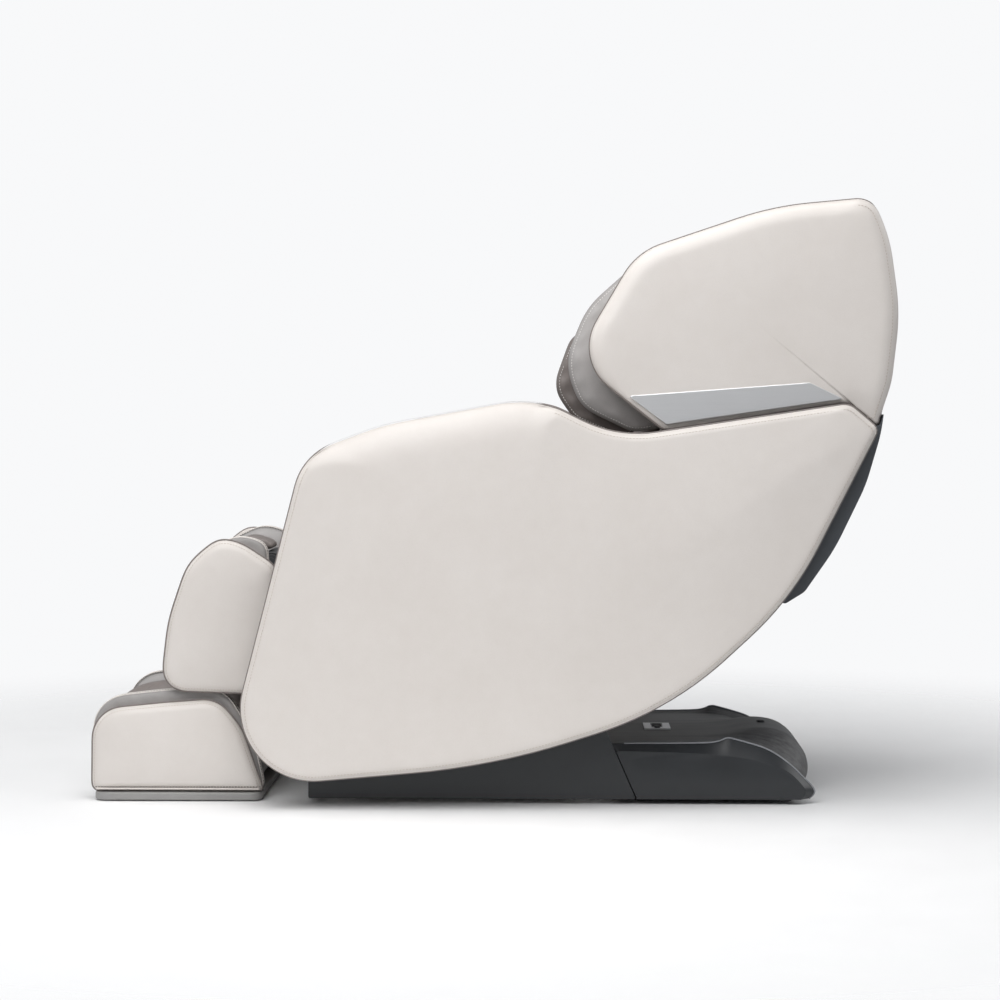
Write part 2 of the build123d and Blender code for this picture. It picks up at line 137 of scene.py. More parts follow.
def rounded(points, rounds=3, loop=False):
    # Chaikin's rule: each side is cut at a quarter and three quarters of its length
    line = np.array(points, float)
    for _ in range(rounds):
        ahead = np.roll(line, -1, 0) if loop else line[1:]
        here = line if loop else line[:-1]
        cut = np.stack([here * 0.75 + ahead * 0.25, here * 0.25 + ahead * 0.75], 1).reshape(-1, line.shape[1])
        line = cut if loop else np.vstack([line[:1], cut, line[-1:]])
    return line


def rimDistance(ring, outline):
    # shortest distance from each point to the outline's sides
    ahead = np.roll(outline, -1, 0) - outline
    long = (ahead ** 2).sum(-1)
    far = np.empty(ring.shape[:-1])
    for row in range(len(ring)):
        offset = ring[row][:, None, :] - outline[None]
        t = np.clip((offset * ahead).sum(-1) / long, 0, 1)
        far[row] = np.sqrt(((offset - t[..., None] * ahead) ** 2).sum(-1).min(1))
    return far


def inward(outline):
    # unit normals of an outline that point to its middle
    along = unit(np.roll(outline, -1, 0) - np.roll(outline, 1, 0))
    normal = np.stack([-along[:, 1], along[:, 0]], -1)
    middle = (outline.min(0) + outline.max(0)) / 2
    turn = np.sign((normal * (middle - outline)).sum(-1).sum())
    return normal * turn


def eased(values, times):
    # the mean with both neighbours round a closed line, taken several times
    for _ in range(times):
        values = (np.roll(values, 1, 0) + values + np.roll(values, -1, 0)) / 3
    return values


def dropAt(form, d):
    # how far a pad's face lies below its plane at distance d from the outline
    near = np.clip(d / form["radius"], 0, 1)
    far = np.clip(d / form["reach"], 0, 1)
    return form["crown"] * (1 - far) ** 2 + form["roll"] * (1 - np.sqrt(1 - (1 - near) ** 2))


def padFace(outline, plane, form, sign, rows):
    # A point lies a share of the way from the outline to the middle. At distance d from the outline its x is
    # plane - sign * (crown (1 - d/reach)^2 + roll (1 - sqrt(1 - (1 - d/radius)^2))).
    middle = (outline.min(0) + outline.max(0)) / 2
    share = (np.linspace(0, 1, rows + 1)[:-1, None, None]) ** 1.8
    ring = outline + (middle - outline) * share
    d = eased(rimDistance(ring, outline).T, 30).T
    return np.dstack([plane - sign * dropAt(form, d), ring]), d, np.array([plane, *middle])


def padShell(name, outline, xBack, xFront, form, side, material, body, replaced=(), rows=30,
             shape=None,
             backRows=None):
    # a closed pad: the back face from its middle to the rim, then the front face from the rim to its middle
    front, far, pole = padFace(outline, xFront, form["front"], 1, rows)
    if backRows is None:
        back, backFar, backPole = padFace(outline, xBack, form["back"], -1, max(rows // 2, 8))
        back, backFar = back[::-1], backFar[::-1]
    else:
        back, backFar, backPole = backRows
    if shape:
        front = shape(front, far)
        back = shape(back, backFar)
    grid = np.concatenate([back, front])
    count = len(outline)
    points = np.vstack([grid.reshape(-1, 3), backPole, pole])
    last = len(grid) * count
    faces = [gridFaces(len(grid), count), fanFaces(last, np.arange(count)),
             fanFaces(last + 1, np.arange(last - count, last))]
    rim = np.concatenate([backFar.ravel(), far.ravel(), [1, 1]])
    points[:, 0] *= side
    # the first mask paints shade into the leather's colour within a few mm of the rim, where the seam lies
    masks = {"paintedSeamShade": np.exp(-rim / 0.007), "rimFar": rim}
    return addPiece(name, points, faces, material, body, replaced, masks=masks)


def tubeMesh(path, radius, loop=True, around=10):
    # a circle carried along the path: point + radius (cos a side + sin a up), where up is square to path
    # and side
    ahead = np.roll(path, -1, 0) - np.roll(path, 1, 0)
    if not loop:
        ahead[0], ahead[-1] = path[1] - path[0], path[-1] - path[-2]
    ahead = unit(ahead)
    side = unit(np.cross(ahead, [1.0, 0.02, 0.03]))
    up = np.cross(side, ahead)
    a = np.linspace(0, 2 * np.pi, around, endpoint=False)[None, :, None]
    size = np.broadcast_to(np.asarray(radius, float), (len(path),))[:, None, None]
    ring = path[:, None] + size * (np.cos(a) * side[:, None] + np.sin(a) * up[:, None])
    points = ring.reshape(-1, 3)
    rows = len(path)
    if loop:
        joined = gridFaces(rows + 1, around) % (rows * around)
        return points, [joined]
    points = np.vstack([points, path[0], path[-1]])
    last = rows * around
    return points, [gridFaces(rows, around), fanFaces(last, np.arange(around)),
                    fanFaces(last + 1, np.arange(last - around, last))]


def tube(name, path, radius, material, body, loop=True, around=10, replaced=()):
    points, faces = tubeMesh(path, radius, loop, around)
    return addPiece(name, points, faces, material, body, replaced)


def stitches(name, path, out, stitch, material, body, loop=True):
    # each stitch is a short bead: half length (1 - v^2)^0.4 thick along v from -1 to 1, laid along the path
    length = np.linalg.norm(np.diff(path, axis=0), axis=1).sum()
    count = int(length / stitch["pitch"])
    at = evenly(path, count, loop)
    outAt = unit(evenly(np.hstack([path, out]), count, loop)[:, 3:])
    ahead = np.roll(at, -1, 0) - np.roll(at, 1, 0)
    if not loop:
        ahead[0], ahead[-1] = at[1] - at[0], at[-1] - at[-2]
    ahead = unit(ahead)
    across = unit(np.cross(ahead, outAt))
    v = np.linspace(-1, 1, 5)
    a = np.linspace(0, 2 * np.pi, 6, endpoint=False)
    thick = stitch["radius"] * np.maximum(1 - v ** 2, 0.08) ** 0.4
    bead = (at[:, None, None] + ahead[:, None, None] * (v * stitch["length"] / 2)[None, :, None, None]
            + across[:, None, None] * (thick[:, None] * np.cos(a))[None, :, :, None]
            + outAt[:, None, None] * (thick[:, None] * np.sin(a))[None, :, :, None])
    one = gridFaces(5, 6)
    ends = np.array([[5, 4, 3, 2, 1, 0], [24, 25, 26, 27, 28, 29]])
    step = (np.arange(len(at)) * 30)[:, None, None]
    faces = [(one[None] + step).reshape(-1, 4), (ends[None] + step).reshape(-1, 6)]
    return addPiece(name, bead.reshape(-1, 3), faces, material, body)


def softened(node, name, width, material, body, segments=3, angle=0.5):
    # a copy of a node with its flat faces joined up and its edges rounded
    work = bmesh.new()
    work.from_mesh(frame["nodes"][node].data)
    bmesh.ops.remove_doubles(work, verts=work.verts, dist=1e-6)
    bmesh.ops.dissolve_limit(work, angle_limit=0.004, verts=work.verts, edges=work.edges)
    mesh = bpy.data.meshes.new(name)
    work.to_mesh(mesh)
    work.free()
    piece = setUp(bpy.data.objects.new(name, mesh), material, body, [node])
    bevel = piece.modifiers.new("edges", "BEVEL")
    bevel.width, bevel.segments, bevel.limit_method, bevel.angle_limit = width, segments, "ANGLE", angle
    bevel.harden_normals = False
    weighted = piece.modifiers.new("shading", "WEIGHTED_NORMAL")
    weighted.keep_sharp = True
    return piece


def blowUp(piece, recipe):
    # voxel remesh, then cloth pressure with no gravity, and no point may move further than the cap
    remesh = piece.modifiers.new("remesh", "REMESH")
    remesh.mode, remesh.voxel_size = "VOXEL", recipe["voxel"]
    bakeModifiers(piece)
    start = cornersOf(piece.data)
    cloth = piece.modifiers.new("cloth", "CLOTH")
    cloth.settings.quality = 4
    cloth.settings.mass = 0.3
    cloth.settings.tension_stiffness = cloth.settings.compression_stiffness = recipe.get("stiffness", 12)
    cloth.settings.bending_stiffness = 0.4
    cloth.settings.use_pressure = True
    cloth.settings.uniform_pressure_force = recipe["pressure"]
    cloth.settings.effector_weights.gravity = 0
    cloth.point_cache.frame_start, cloth.point_cache.frame_end = 1, recipe["frames"]
    for step in range(1, recipe["frames"] + 1):
        scene.frame_set(step)
    bakeModifiers(piece)
    scene.frame_set(1)
    moved = cornersOf(piece.data) - start
    far = np.linalg.norm(moved, axis=1, keepdims=True)
    moved *= np.minimum(1, recipe["cap"] / np.maximum(far, 1e-9))
    putCorners(piece.data, start + moved)
    return piece


def bakeModifiers(piece):
    seen = piece.evaluated_get(bpy.context.evaluated_depsgraph_get())
    mesh = bpy.data.meshes.new_from_object(seen)
    old = piece.data
    piece.modifiers.clear()
    piece.data = mesh
    bpy.data.meshes.remove(old)


def putCorners(mesh, co):
    mesh.vertices.foreach_set("co", co.ravel())
    mesh.update()


def refine(piece, levels=1):
    more = piece.modifiers.new("finer", "SUBSURF")
    more.levels = more.render_levels = levels


# shader groups
def newGroup(name, inputs, outputs):
    tree = bpy.data.node_groups.new(name, "ShaderNodeTree")
    for label, kind, value in inputs:
        socket = tree.interface.new_socket(label, in_out="INPUT", socket_type=kind)
        if value is not None:
            socket.default_value = value
    for label, kind in outputs:
        tree.interface.new_socket(label, in_out="OUTPUT", socket_type=kind)
    return tree, tree.nodes.new("NodeGroupInput"), tree.nodes.new("NodeGroupOutput")


def wire(tree, *pairs):
    for out, into in pairs:
        tree.links.new(out, into)


def mathNode(tree, operation, first, second=None, clamp=False):
    node = tree.nodes.new("ShaderNodeMath")
    node.operation, node.use_clamp = operation, clamp
    for index, value in enumerate((first, second)):
        if value is None:
            continue
        if isinstance(value, (int, float)):
            node.inputs[index].default_value = value
        else:
            tree.links.new(value, node.inputs[index])
    return node.outputs[0]


def noiseNode(tree, vector, scale, detail=3.0, roughness=0.55):
    node = tree.nodes.new("ShaderNodeTexNoise")
    node.inputs["Detail"].default_value = detail
    node.inputs["Roughness"].default_value = roughness
    wire(tree, (vector, node.inputs["Vector"]))
    if isinstance(scale, (int, float)):
        node.inputs["Scale"].default_value = scale
    else:
        wire(tree, (scale, node.inputs["Scale"]))
    return node.outputs["Fac"]


def grainGroup():
    # pebbles between creases, with pores, and slow changes of tone and gloss
    tree, source, sink = newGroup(
        "leatherGrain",
        [("Vector", "NodeSocketVector", None), ("Pebbles", "NodeSocketFloat", 620.0),
         ("Crease Depth", "NodeSocketFloat", 0.6), ("Waves", "NodeSocketFloat", 7.0)],
        [("Height", "NodeSocketFloat"), ("Tone", "NodeSocketFloat"), ("Gloss", "NodeSocketFloat"),
         ("Slow Height", "NodeSocketFloat")])
    vector = source.outputs["Vector"]
    cells = tree.nodes.new("ShaderNodeTexVoronoi")
    cells.feature = "DISTANCE_TO_EDGE"
    wire(tree, (vector, cells.inputs["Vector"]), (source.outputs["Pebbles"], cells.inputs["Scale"]))
    dome = mathNode(tree, "SMOOTH_MIN", cells.outputs["Distance"], 0.28)
    dome = mathNode(tree, "MULTIPLY", dome, source.outputs["Crease Depth"])
    pores = noiseNode(tree, vector, mathNode(tree, "MULTIPLY", source.outputs["Pebbles"], 2.2), 2.0)
    height = mathNode(tree, "ADD", dome, mathNode(tree, "MULTIPLY", pores, 0.12))
    slow = noiseNode(tree, vector, source.outputs["Waves"], 3.0)
    middle = noiseNode(tree, vector, mathNode(tree, "MULTIPLY", source.outputs["Waves"], 6.0), 4.0)
    tone = mathNode(tree, "ADD", mathNode(tree, "MULTIPLY", slow, 0.65),
                    mathNode(tree, "MULTIPLY", middle, 0.35))
    gloss = mathNode(tree, "ADD", mathNode(tree, "MULTIPLY", middle, 0.5),
                     mathNode(tree, "MULTIPLY", dome, 1.2))
    wire(tree, (height, sink.inputs["Height"]), (tone, sink.inputs["Tone"]), (gloss, sink.inputs["Gloss"]),
         (slow, sink.inputs["Slow Height"]))
    return tree


def streakGroup():
    # noise drawn out along one direction, as brushing or wood grain leaves it
    tree, source, sink = newGroup(
        "brushedStreaks",
        [("Vector", "NodeSocketVector", None), ("Stretch", "NodeSocketVector", (1.0, 1.0, 1.0)),
         ("Scale", "NodeSocketFloat", 60.0)],
        [("Streak", "NodeSocketFloat"), ("Broad", "NodeSocketFloat")])
    product = tree.nodes.new("ShaderNodeVectorMath")
    product.operation = "MULTIPLY"
    wire(tree, (source.outputs["Vector"], product.inputs[0]), (source.outputs["Stretch"], product.inputs[1]))
    fine = noiseNode(tree, product.outputs[0], source.outputs["Scale"], 6.0, 0.7)
    broad = noiseNode(tree, product.outputs[0], mathNode(tree, "MULTIPLY", source.outputs["Scale"], 0.22),
                      3.0)
    wire(tree, (fine, sink.inputs["Streak"]), (broad, sink.inputs["Broad"]))
    return tree


def mouldGroup():
    # the fine spark texture of a moulded plastic and the faint smudges of handling
    tree, source, sink = newGroup(
        "mouldedSkin",
        [("Vector", "NodeSocketVector", None), ("Fineness", "NodeSocketFloat", 900.0)],
        [("Height", "NodeSocketFloat"), ("Smudge", "NodeSocketFloat"), ("Fleck", "NodeSocketFloat")])
    vector = source.outputs["Vector"]
    fine = noiseNode(tree, vector, source.outputs["Fineness"], 2.0)
    smudge = noiseNode(tree, vector, 9.0, 5.0, 0.6)
    fleck = noiseNode(tree, vector, mathNode(tree, "MULTIPLY", source.outputs["Fineness"], 0.35), 3.0)
    wire(tree, (fine, sink.inputs["Height"]), (smudge, sink.inputs["Smudge"]), (fleck, sink.inputs["Fleck"]))
    return tree


def floorShadeGroup():
    # 0 high up and 1 near the floor, where soft dirt and shade gather
    tree, source, sink = newGroup(
        "floorShade", [("Vector", "NodeSocketVector", None), ("Top", "NodeSocketFloat", 0.3)],
        [("Shade", "NodeSocketFloat")])
    split = tree.nodes.new("ShaderNodeSeparateXYZ")
    wire(tree, (source.outputs["Vector"], split.inputs[0]))
    height = mathNode(tree, "DIVIDE", split.outputs["Z"], source.outputs["Top"])
    wire(tree, (mathNode(tree, "SUBTRACT", 1.0, height, True), sink.inputs["Shade"]))
    return tree


groups = {"grain": grainGroup(), "streak": streakGroup(), "mould": mouldGroup(), "floor": floorShadeGroup()}


class MaterialDesk:
    # one material being wired: its nodes, its shader and its Object coordinates
    def __init__(self, name):
        self.material = bpy.data.materials.new(name)
        self.material.use_nodes = True
        self.tree = self.material.node_tree
        self.shader = self.tree.nodes["Principled BSDF"]
        self.place = self.tree.nodes.new("ShaderNodeTexCoord").outputs["Object"]

    def group(self, key, **values):
        node = self.tree.nodes.new("ShaderNodeGroup")
        node.node_tree = groups[key]
        wire(self.tree, (self.place, node.inputs["Vector"]))
        for label, value in values.items():
            node.inputs[label.replace("_", " ")].default_value = value
        return node

    def mix(self, first, second, factor):
        node = self.tree.nodes.new("ShaderNodeMix")
        node.data_type = "RGBA"
        for index, colour in ((6, first), (7, second)):
            if isinstance(colour, tuple):
                node.inputs[index].default_value = (*colour, 1)
            else:
                wire(self.tree, (colour, node.inputs[index]))
        if isinstance(factor, float):
            node.inputs[0].default_value = factor
        else:
            wire(self.tree, (factor, node.inputs[0]))
        return node.outputs[2]

    def spread(self, value, low, high, toLow, toHigh):
        node = self.tree.nodes.new("ShaderNodeMapRange")
        for label, number in (("From Min", low), ("From Max", high), ("To Min", toLow), ("To Max", toHigh)):
            node.inputs[label].default_value = number
        wire(self.tree, (value, node.inputs["Value"]))
        return node.outputs["Result"]

    def bump(self, height, distance, strength=1.0, below=None):
        node = self.tree.nodes.new("ShaderNodeBump")
        node.inputs["Distance"].default_value = distance
        node.inputs["Strength"].default_value = strength
        wire(self.tree, (height, node.inputs["Height"]))
        if below:
            wire(self.tree, (below, node.inputs["Normal"]))
        return node.outputs["Normal"]

    def attribute(self, name):
        node = self.tree.nodes.new("ShaderNodeAttribute")
        node.attribute_name = name
        return node.outputs["Fac"]

    def finish(self, colour=None, roughness=None, normal=None, metallic=None, **plain):
        for label, value in (("Base Color", colour), ("Roughness", roughness), ("Normal", normal),
                             ("Metallic", metallic)):
            if value is None:
                continue
            if isinstance(value, (int, float)):
                self.shader.inputs[label].default_value = value
            else:
                wire(self.tree, (value, self.shader.inputs[label]))
        for label, value in plain.items():
            self.shader.inputs[label.replace("_", " ")].default_value = value
        return self.material


def leather(name, look):
    desk = MaterialDesk(name)
    grain = desk.group("grain", Pebbles=look["pebbles"], Crease_Depth=look["crease"], Waves=look["waves"])
    colour = desk.mix(look["dark"], look["light"], desk.spread(grain.outputs["Tone"], 0.3, 0.7, 0.0, 1.0))
    # painted shade: the grain's creases are pulled up to a quarter of the way towards the dark seam colour
    creased = desk.mix(look["seam"], colour, desk.spread(grain.outputs["Height"], 0.0, 0.12, 0.75, 1.0))
    # painted shade: near pad rims and sewn grooves the colour is pulled towards the dark seam colour
    rim = desk.spread(desk.attribute("paintedSeamShade"), 0.0, 1.0, 0.0, look["rim"])
    colour = desk.mix(creased, look["seam"], rim)
    rough = desk.spread(grain.outputs["Gloss"], 0.2, 0.8, look["rough"][1], look["rough"][0])
    slow = desk.bump(grain.outputs["Slow Height"], look["waveDepth"])
    normal = desk.bump(grain.outputs["Height"], look["depth"], 1.0, slow)
    return desk.finish(colour, rough, normal, Coat_Weight=look["coat"], Coat_Roughness=0.3, IOR=1.48)


def moulded(name, look):
    desk = MaterialDesk(name)
    skin = desk.group("mould", Fineness=look["fineness"])
    low = desk.group("floor", Top=0.2)
    colour = desk.mix(look["dark"], look["light"], desk.spread(skin.outputs["Smudge"], 0.3, 0.7, 0.0, 1.0))
    colour = desk.mix(colour, look["light"], desk.spread(skin.outputs["Fleck"], 0.62, 0.8, 0.0, 0.35))
    colour = desk.mix(colour, look["dust"], desk.spread(low.outputs["Shade"], 0.4, 1.0, 0.0, look["dusty"]))
    rough = desk.spread(skin.outputs["Smudge"], 0.3, 0.7, look["rough"][0], look["rough"][1])
    return desk.finish(colour, rough, desk.bump(skin.outputs["Height"], look["depth"]))


def brushed(name, look):
    desk = MaterialDesk(name)
    streak = desk.group("streak", Stretch=look["stretch"], Scale=look["scale"])
    skin = desk.group("mould", Fineness=500.0)
    colour = desk.mix(look["dark"], look["light"], desk.spread(streak.outputs["Streak"], 0.3, 0.7, 0.0, 1.0))
    colour = desk.mix(colour, look["light"], desk.spread(streak.outputs["Broad"], 0.45, 0.75, 0.0, 0.6))
    rough = desk.spread(streak.outputs["Streak"], 0.25, 0.75, look["rough"][0], look["rough"][1])
    rough = mathNode(desk.tree, "ADD", rough, desk.spread(skin.outputs["Smudge"], 0.35, 0.75, 0.0, 0.06))
    return desk.finish(colour, rough, desk.bump(streak.outputs["Streak"], look["depth"]), look["metal"])


# in each leather look the seam colour is the dark colour of painted shade at seams and in the grain's creases, and
# rim is how far a rim's painted shade goes towards it
ivoryLook = {"light": (0.745, 0.703, 0.668), "dark": (0.705, 0.660, 0.622), "seam": (0.50, 0.45, 0.41),
             "rim": 0.3,
             "pebbles": 640.0, "crease": 0.6, "waves": 6.0, "depth": 0.00025, "waveDepth": 0.0016,
             "rough": (0.36, 0.46), "coat": 0.12}
greyLook = {"light": (0.46, 0.44, 0.432), "dark": (0.39, 0.372, 0.364), "seam": (0.16, 0.15, 0.145),
            "rim": 0.55,
            "pebbles": 560.0, "crease": 0.9, "waves": 9.0, "depth": 0.0004, "waveDepth": 0.003,
            "rough": (0.42, 0.55), "coat": 0.06}
taupeLook = {"light": (0.235, 0.205, 0.192), "dark": (0.185, 0.16, 0.15), "seam": (0.07, 0.06, 0.055),
             "rim": 0.55,
             "pebbles": 520.0, "crease": 0.9, "waves": 11.0, "depth": 0.0004, "waveDepth": 0.003,
             "rough": (0.4, 0.54), "coat": 0.06}
slateLook = {"light": (0.021, 0.024, 0.028), "dark": (0.016, 0.018, 0.021), "dust": (0.08, 0.08, 0.08),
             "dusty": 0.15,
             "fineness": 1100.0, "depth": 0.00006, "rough": (0.36, 0.46)}
charcoalLook = {"light": (0.080, 0.087, 0.098), "dark": (0.062, 0.068, 0.077), "dust": (0.1, 0.1, 0.1),
                "dusty": 0.1,
                "fineness": 1000.0, "depth": 0.00008, "rough": (0.38, 0.5)}
shellLook = {"light": (0.76, 0.727, 0.695), "dark": (0.725, 0.69, 0.655), "dust": (0.5, 0.48, 0.45),
             "dusty": 0.0,
             "fineness": 900.0, "depth": 0.00005, "rough": (0.34, 0.42)}
soleLook = {"light": (0.36, 0.355, 0.35), "dark": (0.30, 0.295, 0.29), "dust": (0.2, 0.19, 0.18),
            "dusty": 0.3,
            "fineness": 800.0, "depth": 0.0001, "rough": (0.45, 0.6)}
blackLook = {"light": (0.035, 0.035, 0.037), "dark": (0.024, 0.024, 0.026), "dust": (0.12, 0.12, 0.12),
             "dusty": 0.2,
             "fineness": 800.0, "depth": 0.0001, "rough": (0.42, 0.6)}
rubberLook = {"light": (0.04, 0.04, 0.04), "dark": (0.026, 0.026, 0.026), "dust": (0.1, 0.1, 0.1),
              "dusty": 0.4,
              "fineness": 500.0, "depth": 0.0002, "rough": (0.7, 0.85)}
paintLook = {"light": (0.055, 0.056, 0.06), "dark": (0.04, 0.041, 0.044), "dust": (0.14, 0.14, 0.14),
             "dusty": 0.2,
             "fineness": 600.0, "depth": 0.0002, "rough": (0.4, 0.55)}
silverLook = {"light": (0.70, 0.705, 0.715), "dark": (0.67, 0.675, 0.685), "stretch": (1.0, 0.02, 1.0),
              "scale": 900.0, "rough": (0.27, 0.29), "depth": 0.000001, "metal": 0.5}
steelLook = {"light": (0.62, 0.62, 0.62), "dark": (0.5, 0.5, 0.5), "stretch": (0.2, 1.0, 1.0), "scale": 500.0,
             "rough": (0.25, 0.4), "depth": 0.00005, "metal": 1.0}
deckLook = {"light": (0.155, 0.155, 0.157), "dark": (0.04, 0.041, 0.043), "stretch": (1.0, 0.045, 0.5),
            "scale": 190.0,
            "rough": (0.42, 0.6), "depth": 0.00025, "metal": 0.0}
woodLook = {"light": (0.62, 0.46, 0.3), "dark": (0.5, 0.35, 0.21), "stretch": (1.0, 0.05, 1.0),
            "scale": 160.0,
            "rough": (0.5, 0.65), "depth": 0.0001, "metal": 0.0}
threadLook = {"light": (0.60, 0.53, 0.47), "dark": (0.48, 0.42, 0.37), "stretch": (1.0, 1.0, 1.0),
              "scale": 2500.0,
              "rough": (0.6, 0.75), "depth": 0.0001, "metal": 0.0}
darkThreadLook = threadLook | {"light": (0.14, 0.125, 0.118), "dark": (0.09, 0.08, 0.075)}

ivoryLeather = leather("ivoryLeather", ivoryLook)
greyLeather = leather("greyLeather", greyLook)
taupeLeather = leather("taupeLeather", taupeLook)
slateCover = moulded("slateCover", slateLook)
charcoalCover = moulded("charcoalCover", charcoalLook)
ivoryShell = moulded("ivoryShell", shellLook)
solePlastic = moulded("solePlastic", soleLook)
blackPlastic = moulded("blackPlastic", blackLook)
blackRubber = moulded("blackRubber", rubberLook)
paintedSteel = moulded("paintedSteel", paintLook)
silverPaint = brushed("silverPaint", silverLook)
brightSteel = brushed("brightSteel", steelLook)
deckPlastic = brushed("deckPlastic", deckLook)
plywood = brushed("plywood", woodLook)
paleThread = brushed("paleThread", threadLook)
darkThread = brushed("darkThread", darkThreadLook)
whiteThread = brushed("whiteThread", threadLook | {"light": (0.82, 0.80, 0.78), "dark": (0.72, 0.70, 0.68)})
# a lighter grey copy of the charcoal plastic that paints the highlight on the tail cover's rounded rims
rimHighlightPlastic = moulded("rimHighlightPlastic", charcoalLook | {"light": (0.30, 0.31, 0.33), "dark": (0.24, 0.25, 0.27)})
print("materials ready")


# floor, light and camera
def makeStage():
    # the floor fades out with distance, so that it meets the pale surroundings with no edge
    floorLook = {"light": (0.93, 0.93, 0.93), "dark": (0.92, 0.92, 0.92), "dust": (0.9, 0.9, 0.9),
                 "dusty": 0.0,
                 "fineness": 60.0, "depth": 0.0, "rough": (0.5, 0.62)}
    material = moulded("paleFloor", floorLook)
    tree = material.node_tree
    far = tree.nodes.new("ShaderNodeVectorMath")
    far.operation = "LENGTH"
    fade = tree.nodes.new("ShaderNodeMapRange")
    fade.interpolation_type = "SMOOTHSTEP"
    for label, number in (("From Min", 0.8), ("From Max", 2.5), ("To Min", 1.0), ("To Max", 0.0)):
        fade.inputs[label].default_value = number
    coordinates = tree.nodes.new("ShaderNodeTexCoord")
    wire(tree, (coordinates.outputs["Object"], far.inputs[0]), (far.outputs["Value"], fade.inputs["Value"]),
         (fade.outputs["Result"], tree.nodes["Principled BSDF"].inputs["Alpha"]))
    floor = bpy.data.meshes.new("floor")
    floor.from_pydata([(-7, -7, 0), (7, -7, 0), (7, 7, 0), (-7, 7, 0)], [], [(0, 1, 2, 3)])
    floor.materials.append(material)
    floorObject = bpy.data.objects.new("floor", floor)
    scene.collection.objects.link(floorObject)

    lights = {
        "overhead": {"at": (1.3, -0.3, 3.0), "aim": (0.1, 0.0, 0.5), "size": (2.6, 3.6), "power": 90},
        "cameraSide": {"at": (3.9, -1.9, 3.0), "aim": (0.3, -0.1, 0.8), "size": (1.8, 1.6), "power": 27},
        "rearSide": {"at": (-1.2, 4.2, 2.4), "aim": (0, 0.5, 0.6), "size": (2.0, 2.0), "power": 34},
        "front": {"at": (-0.8, -4.2, 2.4), "aim": (0, -0.2, 0.5), "size": (2.2, 2.0), "power": 36},
    }
    for name, lamp in lights.items():
        data = bpy.data.lights.new(name, "AREA")
        data.shape = "RECTANGLE"
        data.size, data.size_y = lamp["size"]
        data.energy = lamp["power"]
        lampObject = bpy.data.objects.new(name, data)
        lampObject.location = lamp["at"]
        lampObject.rotation_euler = (Vector(lamp["aim"]) - Vector(lamp["at"])).to_track_quat("-Z",
                                                                                             "Y").to_euler()
        scene.collection.objects.link(lampObject)
    world = bpy.data.worlds.new("studio")
    world.use_nodes = True
    tree = world.node_tree
    seen = tree.nodes.new("ShaderNodeBackground")
    seen.inputs["Color"].default_value = (0.94, 0.945, 0.955, 1)
    glow = tree.nodes["Background"]
    glow.inputs["Color"].default_value = (0.96, 0.975, 1.0, 1)
    glow.inputs["Strength"].default_value = 0.34
    either = tree.nodes.new("ShaderNodeMixShader")
    wire(tree, (tree.nodes.new("ShaderNodeLightPath").outputs["Is Camera Ray"], either.inputs[0]),
         (glow.outputs[0], either.inputs[1]), (seen.outputs[0], either.inputs[2]),
         (either.outputs[0], tree.nodes["World Output"].inputs["Surface"]))
    scene.world = world
    scene.view_settings.view_transform = "Standard"


def makeCamera():
    look = {"at": (5.2, 0.115 + shiftY, 0.779), "yaw": math.radians(-1.273), "pitch": math.radians(-2.233),
            "lens": 92.3}
    data = bpy.data.cameras.new("camera")
    data.lens, data.sensor_width = look["lens"], 36
    camera = bpy.data.objects.new("camera", data)
    camera.location = look["at"]
    aim = Vector((-math.cos(look["yaw"]), math.sin(look["yaw"]), math.tan(look["pitch"])))
    camera.rotation_euler = aim.to_track_quat("-Z", "Y").to_euler()
    scene.collection.objects.link(camera)
    scene.camera = camera


makeStage()
makeCamera()
print("stage ready")


def onPlane(outline, x, side=1):
    # side-view points as points at one x
    x = np.broadcast_to(np.asarray(x, float), (len(outline),))
    return np.column_stack([side * x, outline])


# arms
armLook = {
    "points": 640, "rows": 44,
    "boardX": 0.352, "faceX": 0.390,
    "roll": 0.009, "rollRadius": 0.014, "topRoll": 0.027, "topRadius": 0.070,
    "crown": 0.015, "reach": 0.30,
    "wrapX": 0.284, "wrapDown": 0.062, "wrapRound": 0.030, "wrapY": (-0.375, -0.30, 0.065, 0.122),
    "pipe": 0.0024, "band": 0.0026, "seam": 0.0062,
    "stitch": {"pitch": 0.0062, "length": 0.0043, "radius": 0.0007},
}


def armWrap(outline, look):
    # 1 where the cover wraps over the top of the arm, 0 elsewhere
    y = outline[:, 0] - shiftY
    a, b, c, d = look["wrapY"]
    up = smoothStep(0.2, 0.6, -inward(outline)[:, 1])
    return smoothStep(a, b, y) * (1 - smoothStep(c, d, y)) * up


